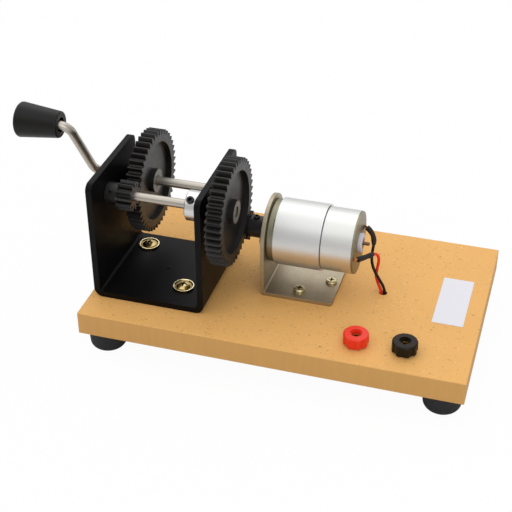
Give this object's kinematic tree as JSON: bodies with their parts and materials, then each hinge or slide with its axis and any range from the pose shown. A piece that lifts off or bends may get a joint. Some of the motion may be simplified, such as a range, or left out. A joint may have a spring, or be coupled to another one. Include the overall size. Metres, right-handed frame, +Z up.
{
  "type": "hand crank generator",
  "caption": "Hand crank generator: a bent crank turns a two-stage gear train and a small DC motor on a wooden baseboard with red and black 4 mm sockets.",
  "frame": {"origin": "on the floor under the middle of the whole object's box, with the crank handle at its stored angle", "axes": "+X along the board from the crank to the label, +Y from the front edge with the sockets to the back edge, +Z up"},
  "size_m": [0.3018, 0.15, 0.1486],
  "materials": {
    "fibreboard": "matt speckled fibreboard with sharp edges",
    "foot_rubber": "matt black rubber",
    "frame_black": "fine textured black powder coat",
    "stainless": "drawn stainless rod",
    "bright_steel": "bright ground steel",
    "gear_nylon": "moulded black nylon",
    "knob_black": "satin black moulding",
    "collar_aluminium": "turned aluminium",
    "bracket_aluminium": "mill finish sheet",
    "ring_aluminium": "bright satin sleeve",
    "can_zinc": "bright zinc plated steel",
    "end_plate_zinc": "olive yellow passivated zinc",
    "brass": "bright brass",
    "yellow_zinc": "yellow passivated zinc",
    "black_steel": "black oxide",
    "bronze": "sintered bronze",
    "white_plastic": "pale moulding",
    "copper": "copper",
    "ferrite": "dark grey ferrite",
    "core_steel": "stacked steel laminations",
    "carbon": "carbon",
    "red_plastic": "glossy red moulding",
    "black_plastic": "glossy black moulding",
    "red_pvc": "soft red insulation",
    "black_pvc": "soft black insulation",
    "heatshrink": "black shrink tube",
    "tinned": "tinned brass",
    "fibre": "red fibre",
    "label_white": "blank white vinyl"
  },
  "bodies": {
    "root": {"baseboard": "fibreboard", "black_heatshrink": "heatshrink", "black_insulator": "black_plastic", "black_lead": "black_pvc", "black_socket_post": "brass", "black_solder_tab": "tinned", "black_under_lead": "black_pvc", "blank_label": "label_white", "bracket_screws": "yellow_zinc", "brush_carrier": "white_plastic", "crank_bushes": "bronze", "foot_screws": "yellow_zinc", "frame_cup_washers": "brass", "frame_screws": "yellow_zinc", "gear_frame": "frame_black", "layshaft_bushes": "bronze", "motor_bracket": "bracket_aluminium", "motor_brushes": "carbon", "motor_can": "can_zinc", "motor_end_plate": "end_plate_zinc", "motor_face_screws": "bright_steel", "motor_flux_ring": "ring_aluminium", "motor_front_bush": "bronze", "motor_magnets": "ferrite", "motor_rear_bush": "bronze", "rear_bearing_cap": "white_plastic", "red_heatshrink": "heatshrink", "red_insulator": "red_plastic", "red_lead": "red_pvc", "red_socket_post": "brass", "red_solder_tab": "tinned", "red_under_lead": "red_pvc", "rubber_feet": "foot_rubber", "solder_tags": "tinned", "terminal_nuts": "brass", "terminal_washers": "fibre"},
    "crank": {"crank_rod": "stainless", "crank_collar": "bright_steel", "crank_collar_grub": "black_steel", "crank_gear": "gear_nylon", "crank_gear_grub": "black_steel", "knob_washer": "bright_steel"},
    "knob": {"crank_knob": "knob_black"},
    "layshaft": {"layshaft": "bright_steel", "layshaft_pinion": "gear_nylon", "layshaft_pinion_grub": "black_steel", "layshaft_collar": "collar_aluminium", "layshaft_collar_grub": "black_steel", "layshaft_gear": "gear_nylon", "layshaft_gear_grub": "black_steel"},
    "rotor": {"motor_shaft": "bright_steel", "motor_pinion": "gear_nylon", "motor_pinion_grub": "black_steel", "armature_core": "core_steel", "armature_winding": "copper", "commutator": "copper"},
    "red_cap_lift": {"red_cap_insert": "brass"},
    "red_cap": {"red_terminal_cap": "red_plastic"},
    "black_cap_lift": {"black_cap_insert": "brass"},
    "black_cap": {"black_terminal_cap": "black_plastic"}
  },
  "joints": [
    {"name": "crank_turn", "type": "hinge", "parent": "root", "child": "crank", "pos_m": [-0.0956, 0.011, 0.0852], "axis": [1, 0, 0], "continuous": true},
    {"name": "knob_spin", "type": "hinge", "parent": "crank", "child": "knob", "pos_m": [-0.1224, -0.02373, 0.13728], "axis": [1, 0, 0], "continuous": true},
    {"name": "layshaft_turn", "type": "hinge", "parent": "root", "child": "layshaft", "pos_m": [-0.0956, -0.02881, 0.09602], "axis": [1, 0, 0], "continuous": true},
    {"name": "motor_turn", "type": "hinge", "parent": "root", "child": "rotor", "pos_m": [0.0104, 0.00136, 0.06788], "axis": [1, 0, 0], "continuous": true},
    {"name": "red_cap_turn", "type": "hinge", "parent": "red_cap_lift", "child": "red_cap", "pos_m": [0.0793, -0.0549, 0.036], "axis": [0, 0, 1], "range_deg": [0, 720]},
    {"name": "red_cap_rise", "type": "slide", "parent": "root", "child": "red_cap_lift", "axis": [0, 0, 1], "range_m": [0, 0.002]},
    {"name": "black_cap_turn", "type": "hinge", "parent": "black_cap_lift", "child": "black_cap", "pos_m": [0.1097, -0.0541, 0.036], "axis": [0, 0, 1], "range_deg": [0, 720]},
    {"name": "black_cap_rise", "type": "slide", "parent": "root", "child": "black_cap_lift", "axis": [0, 0, 1], "range_m": [0, 0.002]}
  ],
  "couplings": [
    {"joint": "layshaft_turn", "follows": "crank_turn", "ratio": -4},
    {"joint": "motor_turn", "follows": "crank_turn", "ratio": 16},
    {"joint": "red_cap_turn", "follows": "red_cap_rise", "rad_per_m": 6283.2},
    {"joint": "black_cap_turn", "follows": "black_cap_rise", "rad_per_m": 6283.2}
  ]
}
